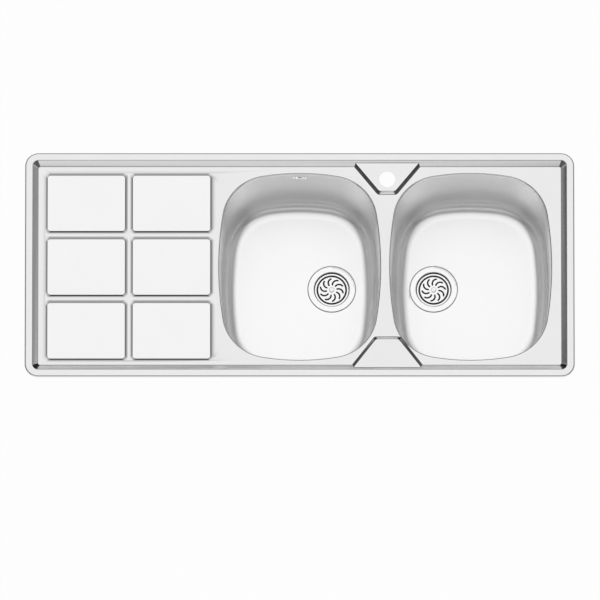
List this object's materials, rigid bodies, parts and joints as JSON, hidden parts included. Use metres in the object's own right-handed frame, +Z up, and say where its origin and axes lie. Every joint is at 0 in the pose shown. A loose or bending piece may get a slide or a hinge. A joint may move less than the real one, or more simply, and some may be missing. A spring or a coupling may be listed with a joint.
{
  "type": "inset kitchen sink",
  "caption": "Stainless steel inset sink with a panelled drainer, deep rounded bowls, a tap ledge, removable basket strainers and swinging clamp clips.",
  "frame": {"origin": "centre of the sink's outline, at the level of the worktop that it rests on", "axes": "+X along the sink towards the bowls, +Y to the back where the tap stands, +Z up"},
  "size_m": [1.2, 0.51, 0.285],
  "materials": {
    "steel": "satin pressed stainless steel",
    "bowl_steel": "satin deep-drawn stainless steel",
    "bright_steel": "polished stainless steel",
    "zinc_steel": "zinc plated",
    "rubber": "moulded black rubber",
    "foam": "closed-cell foam strip",
    "damping": "sound-deadening sheet",
    "white_plastic": "moulded polypropylene"
  },
  "bodies": {
    "sink": {"clip_brackets": "zinc_steel", "deck": "steel", "drainer_sound_pads": "damping", "left_bowl": "bowl_steel", "left_bowl_sound_pad": "damping", "left_clamp_screw": "bright_steel", "left_flange_seal": "rubber", "left_strainer_flange": "bright_steel", "left_waste_body": "white_plastic", "left_waste_gasket": "rubber", "overflow_bottom_nut": "white_plastic", "overflow_gasket": "rubber", "overflow_housing": "white_plastic", "overflow_pipe": "white_plastic", "overflow_screw": "bright_steel", "overflow_top_nut": "white_plastic", "right_bowl": "bowl_steel", "right_bowl_sound_pad": "damping", "right_clamp_screw": "bright_steel", "right_flange_seal": "rubber", "right_strainer_flange": "bright_steel", "right_waste_body": "white_plastic", "right_waste_gasket": "rubber", "rim_seal": "foam"},
    "left_basket_unit": {"left_basket": "bright_steel", "left_basket_knob": "bright_steel", "left_basket_stopper": "rubber"},
    "right_basket_unit": {"right_basket": "bright_steel", "right_basket_knob": "bright_steel", "right_basket_stopper": "rubber"},
    "back_drainer_screw": {"back_drainer_clip_screw": "zinc_steel"},
    "back_drainer_claw": {"back_drainer_clip_claw": "zinc_steel"},
    "back_middle_screw": {"back_middle_clip_screw": "zinc_steel"},
    "back_middle_claw": {"back_middle_clip_claw": "zinc_steel"},
    "back_bowl_screw": {"back_bowl_clip_screw": "zinc_steel"},
    "back_bowl_claw": {"back_bowl_clip_claw": "zinc_steel"},
    "front_middle_screw": {"front_middle_clip_screw": "zinc_steel"},
    "front_middle_claw": {"front_middle_clip_claw": "zinc_steel"},
    "front_bowl_screw": {"front_bowl_clip_screw": "zinc_steel"},
    "front_bowl_claw": {"front_bowl_clip_claw": "zinc_steel"},
    "left_back_screw": {"left_back_clip_screw": "zinc_steel"},
    "left_back_claw": {"left_back_clip_claw": "zinc_steel"},
    "left_front_screw": {"left_front_clip_screw": "zinc_steel"},
    "left_front_claw": {"left_front_clip_claw": "zinc_steel"},
    "right_end_screw": {"right_end_clip_screw": "zinc_steel"},
    "right_end_claw": {"right_end_clip_claw": "zinc_steel"}
  },
  "joints": [
    {"name": "left_basket_lift", "type": "slide", "parent": "sink", "child": "left_basket_unit", "axis": [0, 0, 1], "range_m": [0, 0.25]},
    {"name": "right_basket_lift", "type": "slide", "parent": "sink", "child": "right_basket_unit", "axis": [0, 0, 1], "range_m": [0, 0.25]},
    {"name": "back_drainer_clip_swing", "type": "hinge", "parent": "sink", "child": "back_drainer_screw", "pos_m": [-0.43, 0.2185, -0.03], "axis": [0, 0, 1], "range_deg": [0, 90]},
    {"name": "back_drainer_claw_rise", "type": "slide", "parent": "back_drainer_screw", "child": "back_drainer_claw", "axis": [0, 0, 1], "range_m": [0, 0.022]},
    {"name": "back_middle_clip_swing", "type": "hinge", "parent": "sink", "child": "back_middle_screw", "pos_m": [-0.165, 0.2185, -0.03], "axis": [0, 0, 1], "range_deg": [0, 90]},
    {"name": "back_middle_claw_rise", "type": "slide", "parent": "back_middle_screw", "child": "back_middle_claw", "axis": [0, 0, 1], "range_m": [0, 0.022]},
    {"name": "back_bowl_clip_swing", "type": "hinge", "parent": "sink", "child": "back_bowl_screw", "pos_m": [0.5, 0.2185, -0.03], "axis": [0, 0, 1], "range_deg": [0, 90]},
    {"name": "back_bowl_claw_rise", "type": "slide", "parent": "back_bowl_screw", "child": "back_bowl_claw", "axis": [0, 0, 1], "range_m": [0, 0.022]},
    {"name": "front_middle_clip_swing", "type": "hinge", "parent": "sink", "child": "front_middle_screw", "pos_m": [-0.165, -0.2185, -0.03], "axis": [0, 0, 1], "range_deg": [0, 90]},
    {"name": "front_middle_claw_rise", "type": "slide", "parent": "front_middle_screw", "child": "front_middle_claw", "axis": [0, 0, 1], "range_m": [0, 0.022]},
    {"name": "front_bowl_clip_swing", "type": "hinge", "parent": "sink", "child": "front_bowl_screw", "pos_m": [0.5, -0.2185, -0.03], "axis": [0, 0, 1], "range_deg": [0, 90]},
    {"name": "front_bowl_claw_rise", "type": "slide", "parent": "front_bowl_screw", "child": "front_bowl_claw", "axis": [0, 0, 1], "range_m": [0, 0.022]},
    {"name": "left_back_clip_swing", "type": "hinge", "parent": "sink", "child": "left_back_screw", "pos_m": [-0.5635, 0.13, -0.03], "axis": [0, 0, 1], "range_deg": [0, 90]},
    {"name": "left_back_claw_rise", "type": "slide", "parent": "left_back_screw", "child": "left_back_claw", "axis": [0, 0, 1], "range_m": [0, 0.022]},
    {"name": "left_front_clip_swing", "type": "hinge", "parent": "sink", "child": "left_front_screw", "pos_m": [-0.5635, -0.13, -0.03], "axis": [0, 0, 1], "range_deg": [0, 90]},
    {"name": "left_front_claw_rise", "type": "slide", "parent": "left_front_screw", "child": "left_front_claw", "axis": [0, 0, 1], "range_m": [0, 0.022]},
    {"name": "right_end_clip_swing", "type": "hinge", "parent": "sink", "child": "right_end_screw", "pos_m": [0.5635, 0, -0.03], "axis": [0, 0, 1], "range_deg": [0, 90]},
    {"name": "right_end_claw_rise", "type": "slide", "parent": "right_end_screw", "child": "right_end_claw", "axis": [0, 0, 1], "range_m": [0, 0.022]}
  ]
}
